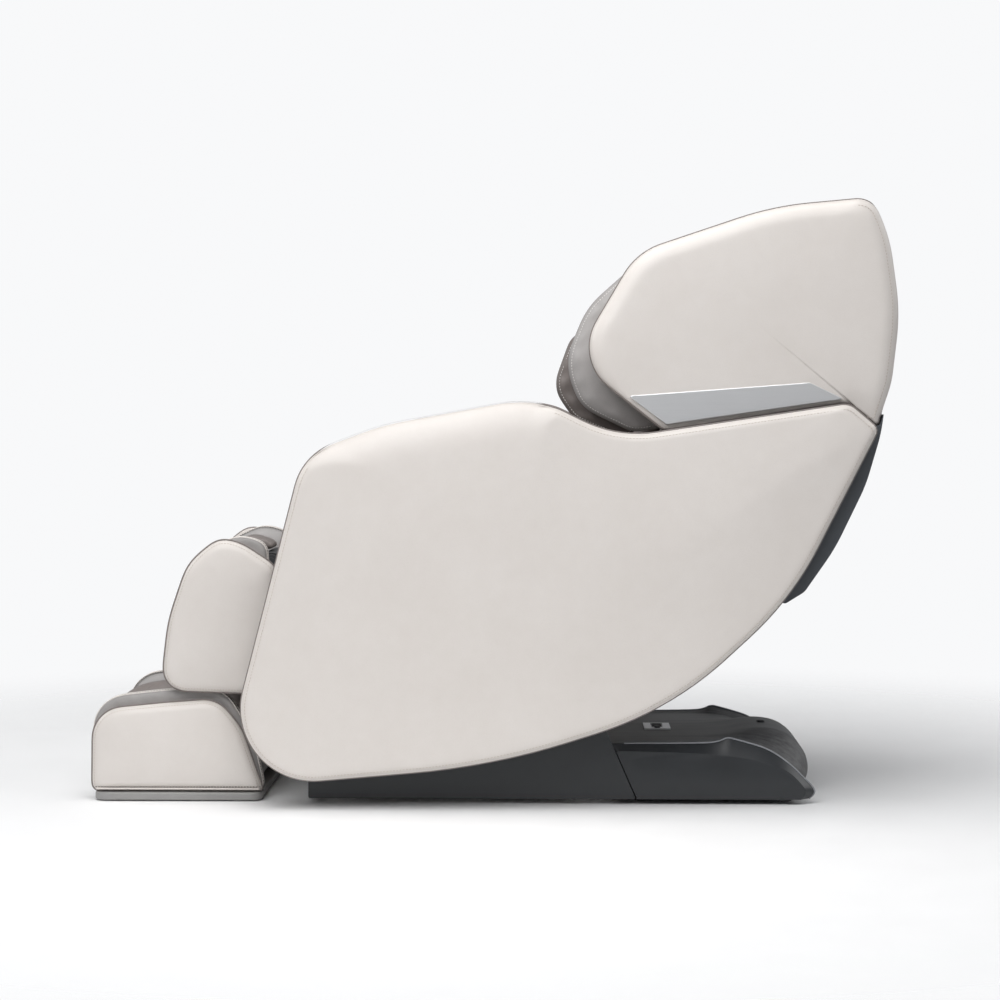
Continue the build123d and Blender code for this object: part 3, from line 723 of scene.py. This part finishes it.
def armPanel(name, side):
    look = armLook
    outline = outlineOf("arm_panel_left", look["points"])
    wrap = armWrap(outline, look)
    form = {"front": {"radius": look["rollRadius"] + (look["topRadius"] - look["rollRadius"]) * wrap,
                      "roll": look["roll"] + (look["topRoll"] - look["roll"]) * wrap,
                      "crown": look["crown"] - 0.003 * wrap, "reach": look["reach"]}}
    # section over the top, from under the roll on the sitter's side to the rim: down the side, a quarter
    # round, across
    r = look["wrapRound"]
    turn = np.linspace(0, np.pi / 2, 9)
    inset = np.concatenate([[look["wrapDown"], look["wrapDown"], 0.045], r - r * np.sin(turn), [0, 0, 0]])
    x = np.concatenate([[look["wrapX"] + 0.02, look["wrapX"] + 0.004, look["wrapX"]],
                        look["wrapX"] + r - r * np.cos(turn), [0.322, 0.332, 0.344]])
    straightInset = np.concatenate([np.linspace(0.03, 0.002, 9), np.full(len(x) - 9, 0.0)])
    move = wrap * inset[:, None] + (1 - wrap) * straightInset[:, None]
    boardStart = look["boardX"] - 0.003 * np.linspace(1, 0, len(x))
    across = wrap * x[:, None] + (1 - wrap) * boardStart[:, None]
    ring = outline[None] + inward(outline)[None] * move[..., None]
    back = np.dstack([across, ring])
    middle = (outline.min(0) + outline.max(0)) / 2
    backFar = np.full(move.shape, 0.05)
    start = padFace(outline, look["faceX"], form["front"], 1, look["rows"])[0][0, :, 0]
    shift = np.linspace(0, 1, len(x))[:, None] ** 3
    back[..., 0] += shift * (start - back[-1, :, 0])[None] * 0.98
    return padShell(name, outline, 0, look["faceX"], form, side, ivoryLeather, "seat",
                    ["arm_panel_" + name.split("_")[-1]], look["rows"],
                    backRows=(back, backFar, np.array([look["boardX"] - 0.003,
                                                       *middle]))), outline, wrap, form


def armEdging(label, side, outline, wrap, form):
    # piping along the free edge, a dark backing board behind it and stitches beside it
    look = armLook
    edge = 1 - wrap
    out = -inward(outline)
    x = look["faceX"] - look["roll"] - look["crown"] - 0.001
    path = onPlane(outline - out * 0.0002, x - 0.002, side)
    tube(f"arm_piping_{label}", path, look["pipe"] * np.maximum(edge, 0.05), ivoryLeather, "seat")
    band = onPlane(outline + out * 0.0022, x - 0.0065, side)
    tube(f"arm_backing_{label}", band, look["band"] * np.maximum(edge, 0.05), taupeLeather, "seat")
    seam = onPlane(outline - out * look["seam"], look["faceX"] - dropAt(form["front"], look["seam"]), side)
    lift = np.array([side * 0.75, 0, 0]) + np.column_stack([np.zeros(len(out)), out * 0.65])
    keep = edge > 0.9
    first = int(np.argmax(keep & ~np.roll(keep, 1)))
    order = np.roll(np.arange(len(keep)), -first)
    order = order[np.roll(keep, -first)]
    stitches(f"arm_stitches_{label}", seam[order], lift[order], look["stitch"], paleThread, "seat",
             loop=False)


for label, side in sides.items():
    panel, outline, wrap, form = armPanel(f"arm_cover_{label}", side)
    armEdging(label, side, outline, wrap, form)
print("arms ready")


liningLook = {"points": 300, "rows": 26,
              "channels": (0.12, 0.24, 0.36), "groove": 0.006, "depth": 0.007,
              "form": {"front": {"radius": 0.02, "roll": 0.01, "crown": 0.006, "reach": 0.1},
                       "back": {"radius": 0.03, "roll": 0.014, "crown": 0.012, "reach": 0.12}}}


def armLinings():
    # padded inner sides with three sewn channels that follow the arm's top
    outline = outlineOf("arm_linings", liningLook["points"], inner=True)
    top = outline[:, 1].max()

    def channels(grid, far):
        # a groove where the depth below the top is near one of the channel depths
        depth = top - grid[..., 2] - 0.10 * np.clip(-grid[..., 1] - 0.1, 0, 1)
        groove = sum(np.exp(-((depth - at) / liningLook["groove"]) ** 2) for at in liningLook["channels"])
        inside = smoothStep(0.01, 0.03, far) * (grid[..., 0] < 0.31)
        grid[..., 0] += liningLook["depth"] * groove * inside
        return grid

    for label, side in sides.items():
        piece = padShell(f"arm_lining_pad_{label}", outline, 0.2705, 0.3475, liningLook["form"], side,
                         taupeLeather,
                         "seat", ["arm_linings"], liningLook["rows"], channels)


armLinings()
print("linings ready")


# shoulder wings
wingLook = {
    "points": 420, "rows": 34, "inner": 0.2645, "outer": 0.343,
    "front": {"radius": (0.034, 0.006), "roll": (0.024, 0.003), "crown": (0.005, 0.005), "reach": 0.18},
    "back": {"radius": 0.020, "roll": 0.010, "crown": 0.004, "reach": 0.1},
    "pipe": (0.0014, 0.0034), "seam": 0.013,
    "lowSlope": (0.30, 0.75), "lowFrom": (0.17, 0.24), "rearFrom": (0.66, 0.70), "ease": 24, "crownEase": 260,
    "stitch": {"pitch": 0.0062, "length": 0.0043, "radius": 0.0007},
}


def wings():
    # the lower edge is crisp, with a taupe piping, and the others roll over
    look = wingLook
    outline = outlineOf("wing_left", look["points"])
    out = -inward(outline)
    low = smoothStep(*look["lowSlope"], -out[:, 1]) * smoothStep(*look["lowFrom"], outline[:, 0] - shiftY)
    low = eased(low, look["ease"])
    gentle = {"radius": low, "roll": low, "crown": eased(low, look["crownEase"])}
    form = {"front": {key: look["front"][key][0] * (1 - share) + look["front"][key][1] * share
                      for key, share in gentle.items()} | {"reach": look["front"]["reach"]},
            "back": look["back"]}
    rimX = look["outer"] - form["front"]["roll"] - form["front"]["crown"]
    rear = smoothStep(*look["rearFrom"], outline[:, 0] - shiftY) * (1 - low) > 0.5
    order = np.roll(np.arange(len(rear)), -int(np.argmax(rear & ~np.roll(rear, 1))))
    order = order[rear[order]]
    for label, side in sides.items():
        piece = padShell(f"wing_cover_{label}", outline, look["inner"], look["outer"], form, side,
                         ivoryLeather, "backrest", [f"wing_{label}"], look["rows"])
        behind = smoothStep(0.5, 0.9, out[:, 0]) * (1 - low)
        path = onPlane(outline + out * (0.0006 - 0.002 * behind)[:, None], rimX - 0.002, side)
        tube(f"wing_piping_{label}", path, look["pipe"][0] * (1 - low) + look["pipe"][1] * low, taupeLeather,
             "backrest")
        path = onPlane(outline - out * look["seam"], look["outer"] - dropAt(form["front"], look["seam"]),
                       side)[order]
        lift = (np.array([side * 0.75, 0, 0]) + np.column_stack([np.zeros(len(out)), out * 0.65]))[order]
        stitches(f"wing_stitches_{label}", path, lift, look["stitch"], paleThread, "backrest",
                 loop=False)


def wingTrims():
    # a flat silver plate with a narrow rounded edge
    outline = outlineOf("wing_trims", 400)
    form = {"front": {"radius": 0.0022, "roll": 0.0014, "crown": 0.0, "reach": 0.05},
            "back": {"radius": 0.004, "roll": 0.001, "crown": 0.0, "reach": 0.05}}
    for label, side in sides.items():
        padShell(f"wing_trim_plate_{label}", outline, 0.330, 0.3470, form, side, silverPaint, "backrest",
                 ["wing_trims"], 60)


wings()
wingTrims()
print("wings ready")


def sidePad(name, node, x0, x1, form, material, body, replaced, wrinkle=0.0, pipe=None, thread=None,
            points=260, rows=26, shape=None, soften=16):
    # a pad with the node's outline on both sides of the chair; near its rim x moves by wrinkle times three
    # sine
    # waves of y and z, and piping and stitches follow the outline
    outline = eased(outlineOf(node, points), soften)
    out = -inward(outline)
    phase = rng.uniform(0, 6, 6)

    def wrinkled(grid, far):
        if shape:
            grid = shape(grid, far)
        y, z = grid[..., 1], grid[..., 2]
        wave = (np.sin(90 * y + 60 * z + phase[0]) + np.sin(150 * z - 40 * y + phase[1])
                + 0.7 * np.sin(230 * y + 120 * z + phase[2]))
        edge = np.exp(-((far - 0.018) / 0.012) ** 2)
        grid[..., 0] += wrinkle * wave * edge * np.sign(grid[..., 0] - (x0 + x1) / 2)
        return grid

    for label, side in sides.items():
        piece = padShell(f"{name}_{label}", outline, x0, x1, form, side, material, body, replaced,
                         rows,
                         wrinkled)
        if pipe:
            for number, x in enumerate(pipe["x"]):
                tube(f"{name}_piping{number}_{label}", onPlane(outline + out * pipe["out"], x, side),
                     pipe["radius"],
                     pipe["material"], body)
        if thread:
            for number, x in enumerate(thread.get("rim", [])):
                stitches(f"{name}_rim_stitches{number}_{label}", onPlane(outline + out * 0.0003, x, side),
                         onPlane(out, 0.0), thread["stitch"], thread["material"], body)
            if "inset" not in thread:
                continue
            lift = np.array([side * thread["lean"], 0, 0]) + np.column_stack([np.zeros(len(out)), out * 0.6])
            seamX = x1 - dropAt(form["front"], thread["inset"])
            stitches(f"{name}_stitches_{label}", onPlane(outline - out * thread["inset"], seamX, side), lift,
                     thread["stitch"], thread["material"], body)


padForm = {"front": {"radius": 0.020, "roll": 0.012, "crown": 0.006, "reach": 0.06},
           "back": {"radius": 0.020, "roll": 0.012, "crown": 0.006, "reach": 0.06}}
fineStitch = {"pitch": 0.0056, "length": 0.0038, "radius": 0.0007}
sidePad("shoulder_air_pad", "shoulder_pads", 0.2145, 0.2585, padForm, greyLeather, "backrest",
        ["shoulder_pads"], 0.0006, thread={"inset": 0.0065, "lean": 0.8, "stitch": fineStitch,
                                           "material": whiteThread})
sidePad("arm_bolster_pad", "arm_bolsters", 0.1665, 0.2125, padForm, taupeLeather, "backrest",
        ["arm_bolsters"], 0.0012, thread={"inset": 0.0065, "lean": 0.8, "stitch": fineStitch,
                                          "material": whiteThread})
print("shoulder pads ready")

# leg rest
crispForm = {"front": {"radius": 0.018, "roll": 0.012, "crown": 0.010, "reach": 0.09},
             "back": {"radius": 0.006, "roll": 0.003, "crown": 0.0, "reach": 0.05}}
sidePad("calf_side_cover", "calf_sides", 0.2325, 0.262, crispForm, ivoryLeather, "calf_unit",
        ["calf_sides"], 0.0, {"x": [0.2415], "out": 0.0006, "radius": 0.0018, "material": taupeLeather,
                              "slot": "taupe_leather"},
        {"inset": 0.006, "lean": 0.8, "stitch": fineStitch, "material": paleThread})


def calfChannels(grid, far):
    # three sewn grooves down the inner face of a leg pad
    groove = sum(np.exp(-((grid[..., 2] - at) / 0.005) ** 2) for at in (0.30, 0.37, 0.44))
    grid[..., 0] += 0.006 * groove * smoothStep(0.012, 0.03, far) * (grid[..., 0] < 0.207)
    return grid


wallForm = {"front": {"radius": 0.010, "roll": 0.005, "crown": 0.0, "reach": 0.05},
            "back": {"radius": 0.026, "roll": 0.018, "crown": 0.006, "reach": 0.08}}
sidePad("calf_wall_pad", "calf_pads", 0.1845, 0.2295, wallForm, greyLeather, "calf_unit",
        ["calf_pads"], 0.0004, {"x": [0.2045, 0.2235], "out": 0.0004, "radius": 0.0014,
                                "material": ivoryLeather,
                                "slot": "ivory_leather"},
        {"rim": [0.2003, 0.2087, 0.2193], "stitch": fineStitch, "material": darkThread}, shape=calfChannels)
sidePad("foot_side_cover", "foot_sides", 0.2325, 0.262, crispForm, ivoryLeather, "foot_unit",
        ["foot_sides"], 0.0, {"x": [0.2415], "out": 0.0006, "radius": 0.0018, "material": taupeLeather,
                              "slot": "taupe_leather"},
        {"inset": 0.006, "lean": 0.8, "stitch": fineStitch, "material": paleThread}, soften=5)
sidePad("foot_wall_pad", "foot_walls", 0.1885, 0.2295, wallForm, greyLeather, "foot_unit",
        ["foot_walls"], 0.0004, {"x": [0.2045, 0.2245], "out": 0.0004, "radius": 0.0014,
                                 "material": ivoryLeather,
                                 "slot": "ivory_leather"},
        {"rim": [0.2003, 0.2087, 0.2200], "stitch": fineStitch, "material": darkThread})


def footSeams():
    # a piped and stitched seam runs along each foot cover just above the sole
    look = {"z": 0.0235, "front": -0.781, "rear": -0.462, "x": 0.2545, "pipe": 0.0018, "above": 0.0042}
    y = np.linspace(look["front"], look["rear"], 90) + shiftY
    line = np.column_stack([y, np.full_like(y, look["z"])])
    for label, side in sides.items():
        tube(f"foot_seam_piping_{label}", onPlane(line, look["x"], side), look["pipe"], ivoryLeather,
             "foot_unit",
             loop=False)
        path = onPlane(line + (0, look["above"]), look["x"] + 0.0008, side)
        stitches(f"foot_seam_stitches_{label}", path, np.tile([side * 1.0, 0, 0.2], (len(y), 1)), fineStitch,
                 darkThread, "foot_unit", loop=False)


footSeams()
print("leg rest sides ready")


# cushions blown up with cloth pressure; each recipe names the node that its pad stands for
cushions = {
    "back_liner": {"piece": "back_board", "body": "backrest", "material": taupeLeather,
                   "slot": "taupe_leather",
                   "shrink": 0.001, "voxel": 0.006, "pressure": 2.0, "cap": 0.003, "frames": 8, "fill": 0.6},
    "seat_cushion": {"piece": "seat_pad", "body": "seat", "material": taupeLeather, "slot": "taupe_leather",
                     "shrink": 0.008, "voxel": 0.009, "pressure": 4.0, "cap": 0.014, "frames": 16,
                     "fill": 0.8},
    "back_cushion": {"piece": "back_pad", "body": "backrest", "material": taupeLeather,
                     "slot": "taupe_leather",
                     "shrink": 0.006, "voxel": 0.008, "pressure": 4.0, "cap": 0.012, "frames": 16,
                     "fill": 0.8},
    "head_pillow": {"piece": "head_pad", "body": "backrest", "material": greyLeather, "slot": "grey_leather",
                    "shrink": 0.010, "voxel": 0.006, "pressure": 5.0, "cap": 0.016, "frames": 16,
                    "fill": 0.7},
    "calf_bed": {"piece": "calf_pad_bed", "body": "calf_unit", "material": greyLeather,
                 "slot": "grey_leather",
                 "shrink": 0.003, "voxel": 0.005, "pressure": 3.0, "cap": 0.006, "frames": 14, "fill": 0.8},
    "heel_wall": {"piece": "heel_pad", "body": "foot_unit", "material": greyLeather, "slot": "grey_leather",
                  "shrink": 0.004, "voxel": 0.007, "pressure": 3.0, "cap": 0.008, "frames": 14, "fill": 0.8},
    "calf_divider": {"piece": "calf_middle_pad", "body": "calf_unit", "material": taupeLeather,
                     "slot": "taupe_leather", "shrink": 0.006, "voxel": 0.006, "pressure": 3.0, "cap": 0.010,
                     "frames": 14, "fill": 0.8},
    "foot_divider": {"piece": "foot_middle_pad", "body": "foot_unit", "material": taupeLeather,
                     "slot": "taupe_leather", "shrink": 0.006, "voxel": 0.006, "pressure": 3.0, "cap": 0.010,
                     "frames": 14, "fill": 0.8},
}


def cushion(node, recipe):
    work = bmesh.new()
    work.from_mesh(frame["nodes"][node].data)
    bmesh.ops.remove_doubles(work, verts=work.verts, dist=1e-6)
    mesh = bpy.data.meshes.new(recipe["piece"])
    work.to_mesh(mesh)
    work.free()
    piece = bpy.data.objects.new(recipe["piece"], mesh)
    scene.collection.objects.link(piece)
    remesh = piece.modifiers.new("even", "REMESH")
    remesh.mode, remesh.voxel_size = "VOXEL", recipe["voxel"]
    bakeModifiers(piece)
    normals = np.empty(len(piece.data.vertices) * 3)
    piece.data.vertices.foreach_get("normal", normals)
    putCorners(piece.data, cornersOf(piece.data) - normals.reshape(-1, 3) * recipe["shrink"])
    blowUp(piece, recipe)
    return piece


def sewn(piece, grooves, depth, width):
    # pushes points in by depth exp(-(d / width)^2) near each groove, where d is the distance that it gives, and
    # stores a narrower mask that paints shade into the groove
    co = cornersOf(piece.data)
    normals = np.empty(len(co) * 3)
    piece.data.vertices.foreach_get("normal", normals)
    near = np.min([np.abs(groove(co)) for groove in grooves], axis=0)
    dent = np.exp(-(near / width) ** 2)
    putCorners(piece.data, co - normals.reshape(-1, 3) * (depth * dent)[:, None])
    piece.data.attributes.new("paintedSeamShade", "FLOAT", "POINT").data.foreach_set(
        "value", np.exp(-(near / (width * 0.5)) ** 2).astype(np.float32))


def acrossBack(at):
    # distance along the back from a line straight across it
    return lambda co: (co - reclineAt) @ upBack - at


def acrossSeat(at):
    return lambda co: co[:, 1] - at


def alongSeat(at):
    return lambda co: np.abs(co[:, 0]) - at


sewnLines = {
    "back_liner": ([alongSeat(0.205)], 0.003, 0.004),
    "seat_cushion": ([alongSeat(0.175), acrossSeat(-0.27 + shiftY)], 0.006, 0.006),
    "back_cushion": ([acrossBack(at) for at in (0.14, 0.25, 0.36, 0.47)] + [alongSeat(0.105)], 0.006, 0.006),
    "head_pillow": ([acrossBack(0.66)], 0.008, 0.007),
    "calf_bed": ([lambda co: co[:, 2] - 0.35], 0.003, 0.004),
    "heel_wall": ([lambda co: co[:, 2] - 0.12], 0.004, 0.005),
    "calf_divider": ([alongSeat(0.0)], 0.003, 0.004),
    "foot_divider": ([alongSeat(0.0)], 0.003, 0.004),
}

rollerReach = -0.0915  # the pads over the back stay in front of this distance from the recline pivot's line
for node, recipe in cushions.items():
    piece = cushion(node, recipe)
    if node in ("back_cushion", "head_pillow"):
        co = cornersOf(piece.data)
        past = np.maximum((co - reclineAt) @ backNormal - rollerReach, 0)
        putCorners(piece.data, co - past[:, None] * backNormal)
    sewn(piece, *sewnLines[node])
    setUp(piece, recipe["material"], recipe["body"], [node])
    refine(piece)
    print("cushion", node)


def seatApron():
    # a padded strip over the front of the seat board: its section is a rounded bar drawn out across the seat
    look = {"half": 0.2485, "y": -0.3965, "thick": 0.0055, "z": (0.404, 0.474), "round": 0.012}
    a = np.linspace(0, 2 * np.pi, 48, endpoint=False)
    power = 0.35
    y = look["y"] + look["thick"] * np.sign(np.cos(a)) * np.abs(np.cos(a)) ** power + shiftY
    half = (look["z"][1] - look["z"][0]) / 2
    z = sum(look["z"]) / 2 + half * np.sign(np.sin(a)) * np.abs(np.sin(a)) ** power
    x = np.linspace(-look["half"], look["half"], 140)
    end = np.clip((look["half"] - np.abs(x)) / look["round"], 0, 1)
    size = np.sqrt(1 - (1 - end) ** 2) * 0.94 + 0.06
    centre = np.array([look["y"] + shiftY, sum(look["z"]) / 2])
    section = np.column_stack([y, z]) - centre
    quilt = 1 + 0.10 * np.abs(np.sin(x * math.pi / 0.062)) ** 0.5
    grid = np.empty((len(x), len(a), 3))
    grid[..., 0] = x[:, None]
    grid[..., 1] = centre[0] + section[None, :, 0] * (size * quilt)[:, None]
    grid[..., 2] = centre[1] + section[None, :, 1] * (1 - (1 - size) * 0.3)[:, None]
    points = np.vstack([grid.reshape(-1, 3), [(-look["half"], *centre), (look["half"], *centre)]])
    last = len(x) * len(a)
    faces = [gridFaces(len(x), len(a)), fanFaces(last, np.arange(len(a))),
             fanFaces(last + 1, np.arange(last - len(a), last))]
    piece = addPiece("seat_apron", points, faces, taupeLeather, "seat")


seatApron()


# backrest shells
softened("rear_shell", "rear_upper_shell", 0.006, ivoryShell, "backrest", 4)
softened("rear_cover", "rear_lower_cover", 0.004, charcoalCover, "backrest", 3)
softened("foot_tray", "foot_sole", 0.003, solePlastic, "foot_unit")
softened("base_skirt", "base_front_cover", 0.002, slateCover, "base")
print("shells ready")


# rear base cover
tailLook = {
    "columns": 181, "rows": 170, "half": 0.280, "rimX": 0.262, "innerX": 0.244, "humpX": (0.085, 0.160),
    "side": [(270.5, 10), (232.5, 96), (229.5, 102), (234, 103.4), (250, 103), (300, 102), (375, 100),
             (468, 91),
             (529, 80), (566, 62), (590, 36), (595, 26), (592, 17), (584, 10)],
    "rim": [(270.5, 10), (231, 100), (206, 111), (204, 114), (208, 116), (245, 116), (407, 117), (430, 121),
            (444, 128.5),
            (462, 124), (481, 119), (524, 106), (561, 81), (592, 51), (613, 29), (613, 19), (602, 10)],
    "scoop": [(270.5, 10), (231, 100), (206, 107), (204, 109.5), (208, 111.4), (245, 111.8), (430, 113),
              (466, 110),
              (500, 100), (534, 86), (562, 69), (584, 50), (598, 33), (596, 19), (586, 10)],
    "hump": [(270.5, 10), (231, 100), (206, 107), (204, 109.5), (208, 111.4), (245, 111.8), (400, 113),
             (450, 116), (490, 123),
             (526, 127), (565, 120), (590, 103), (604, 86), (614, 68), (618, 42), (612, 22), (600, 10)],
    "edge": 0.0016,
}


def tailCover():
    # four side profiles blend across the width: the hump, the scoop beside it, the fender's rim and its
    # outer side
    look = tailLook
    x = np.linspace(-1, 1, look["columns"])
    x = np.sign(x) * look["half"] * (1 - (1 - np.abs(x)) ** 1.35)
    away = np.abs(x)
    side = np.clip((away - look["rimX"]) / (look["half"] - look["rimX"]), 0, 1)
    rim = np.clip((away - look["innerX"]) / (look["rimX"] - look["innerX"]), 0, 1) - side
    hump = 1 - smoothStep(*look["humpX"], away)
    shares = {"side": side, "rim": rim, "hump": hump, "scoop": 1 - side - rim - hump}
    lines = 0
    for key, share in shares.items():
        profile = evenly(rounded(np.array(look[key]) * mm + (shiftY, 0), 2), look["rows"], loop=False)
        lines = lines + profile[:, None] * share[None, :, None]
    grid = np.dstack([np.broadcast_to(x, lines.shape[:2]), lines])
    rows, columns = grid.shape[:2]
    ends = [np.arange(rows)[::-1] * columns, np.arange(rows) * columns + columns - 1]
    bottom = np.concatenate([np.arange(columns), (rows - 1) * columns + np.arange(columns)[::-1]])
    faces = [gridFaces(rows, columns, False), *[end[None] for end in ends], bottom[None]]
    cover = addPiece("base_rear_cover", grid.reshape(-1, 3), faces, deckPlastic, "base",
                     ["base_tail_cover"])
    cover.data.materials.append(slateCover)
    centres = np.empty(len(cover.data.polygons) * 3)
    cover.data.polygons.foreach_get("center", centres)
    centres = centres.reshape(-1, 3)
    plain = (np.abs(centres[:, 0]) > look["rimX"] - 0.003) | (centres[:, 2] < 0.03)
    cover.data.polygons.foreach_set("material_index", plain.astype(np.int32))
    sharp = cover.modifiers.new("edges", "EDGE_SPLIT")
    sharp.split_angle = math.radians(48)
    # painted highlight: a thin lighter-grey tube along each fender rim stands in for the light its rounded edge
    # catches
    rimLine = evenly(rounded(np.array(look["rim"][5:]) * mm + (shiftY, 0), 2), 160, loop=False)
    for label, sign in sides.items():
        tube(f"base_rim_highlight_{label}", onPlane(rimLine, look["rimX"], sign), look["edge"], rimHighlightPlastic, "base",
             loop=False)


def tailSocket():
    # a small ringed hole on top of the hump, its depth painted as a flat black disc of shade
    look = {"at": (0, 0.529 + shiftY, 0.1272), "radius": 0.0075, "lip": 0.0011, "lean": math.radians(-4)}
    a = np.linspace(0, 2 * np.pi, 40, endpoint=False)
    ring = np.column_stack([np.cos(a), np.sin(a) * math.cos(look["lean"]),
                            np.sin(a) * math.sin(look["lean"])])
    ring = np.array(look["at"]) + ring * look["radius"]
    tube("base_hole_lip", ring, look["lip"], slateCover, "base")
    # painted shade: a flat black disc level with the lip stands in for the dark inside of the hole
    addPiece("base_hole_shade_disc", np.vstack([ring, look["at"]]), [fanFaces(40, np.arange(40))], blackPlastic,
             "base",
             outward=False)


tailCover()
tailSocket()
print("base ready")

# finishes of the other nodes
finishes = {
    "silver_trim": silverPaint, "black_plastic": blackPlastic, "black_rubber": blackRubber,
    "painted_steel": paintedSteel, "bright_steel": brightSteel, "plywood": plywood, "slate_cover": slateCover,
    "charcoal_cover": charcoalCover, "ivory_shell": ivoryShell, "sole_plastic": solePlastic,
    "ivory_leather": ivoryLeather, "grey_leather": greyLeather, "taupe_leather": taupeLeather,
}
slotOf = {entry["node"]: entry["material_slot"] for entry in frame["record"]["subparts"]}
for node, nodeObject in frame["nodes"].items():
    nodeObject.data.materials.clear()
    nodeObject.data.materials.append(finishes[slotOf[node]])
print("finishes ready")
